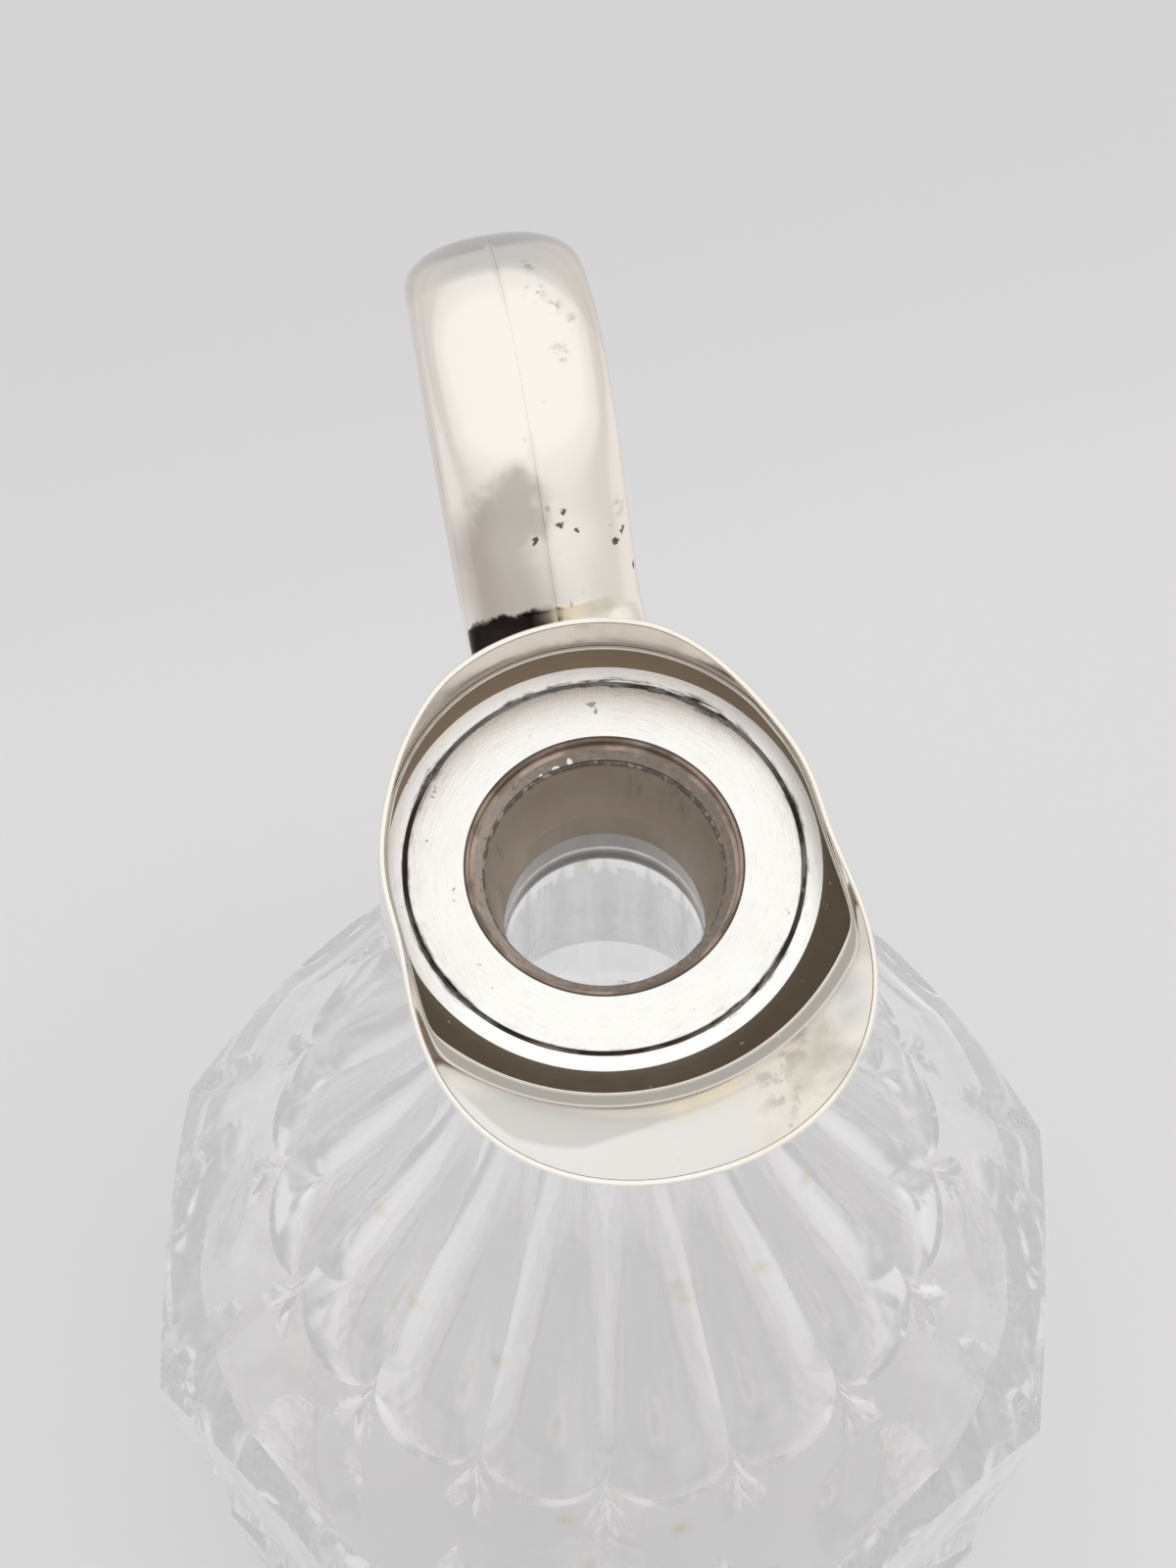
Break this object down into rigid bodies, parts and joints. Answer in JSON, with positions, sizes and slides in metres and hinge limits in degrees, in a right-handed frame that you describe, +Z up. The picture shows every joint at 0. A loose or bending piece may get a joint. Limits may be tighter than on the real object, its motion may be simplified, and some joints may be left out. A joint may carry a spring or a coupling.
{
  "type": "claret jug",
  "caption": "Open claret jug: an octagonal cut-glass body with a silver-plated mouth mount, a broad pouring lip and a half-round strap handle.",
  "frame": {"origin": "on the table under the middle of the neck", "axes": "+Z up along the axis of the neck; the spout points along -X and the handle along +X"},
  "size_m": [0.1351, 0.1322, 0.29],
  "materials": {
    "crystal": "clear cut lead crystal, polished",
    "silver": "polished silver plate, slightly warm, with fine scratches",
    "plate_silver": "bright silver plate with circular scratches and a dark line in the groove",
    "old_silver": "dull tarnished silver plate",
    "cement": "plaster cement"
  },
  "bodies": {
    "root": {"glass_body": "crystal", "neck_sleeve": "old_silver", "neck_cement": "cement", "mouth_plate": "plate_silver", "collar_tube": "silver", "neck_band": "silver", "liner_cup": "old_silver", "spout_shell": "silver", "rim_wire": "silver", "handle_half_left": "silver", "handle_half_right": "silver"}
  },
  "joints": []
}
